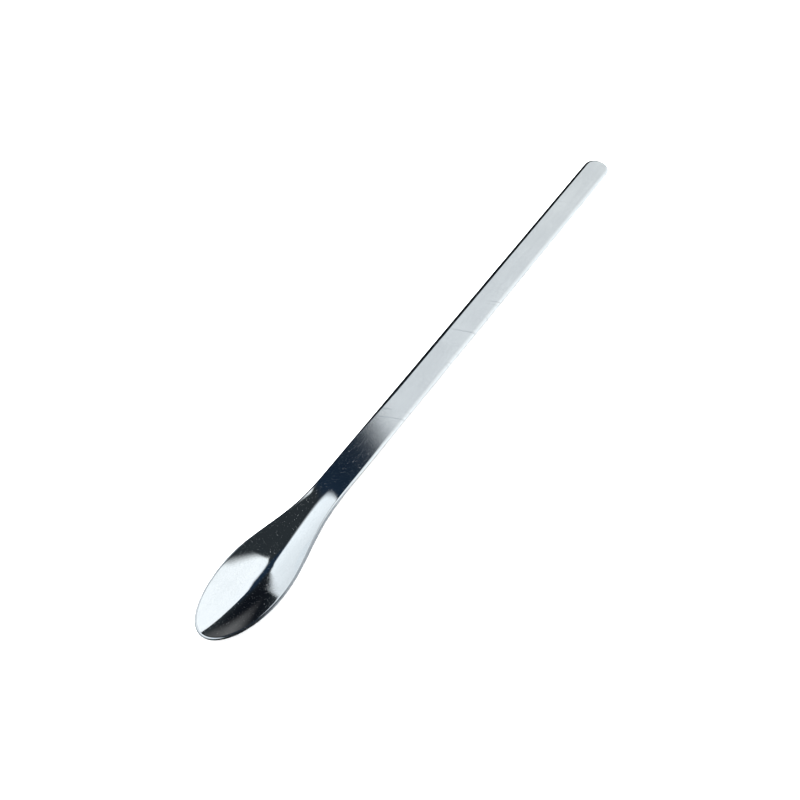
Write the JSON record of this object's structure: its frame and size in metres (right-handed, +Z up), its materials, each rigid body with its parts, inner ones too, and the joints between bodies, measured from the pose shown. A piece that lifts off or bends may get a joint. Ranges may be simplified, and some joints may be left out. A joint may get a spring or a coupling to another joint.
{
  "type": "lab spatula",
  "caption": "Spoon-ended lab spatula: a flat straight handle with rounded edges that runs through a drawn-in neck to a dished oval bowl for scooping powders.",
  "frame": {"origin": "middle of the length and width, on the surface that the spatula lies on", "axes": "+X along the length from the bowl to the handle's end, +Y across, +Z up out of the bowl"},
  "size_m": [0.16, 0.0142, 0.005],
  "materials": {
    "stainless_steel": "polished bowl, fine satin handle"
  },
  "bodies": {
    "root": {"spatula": "stainless_steel"}
  },
  "joints": []
}
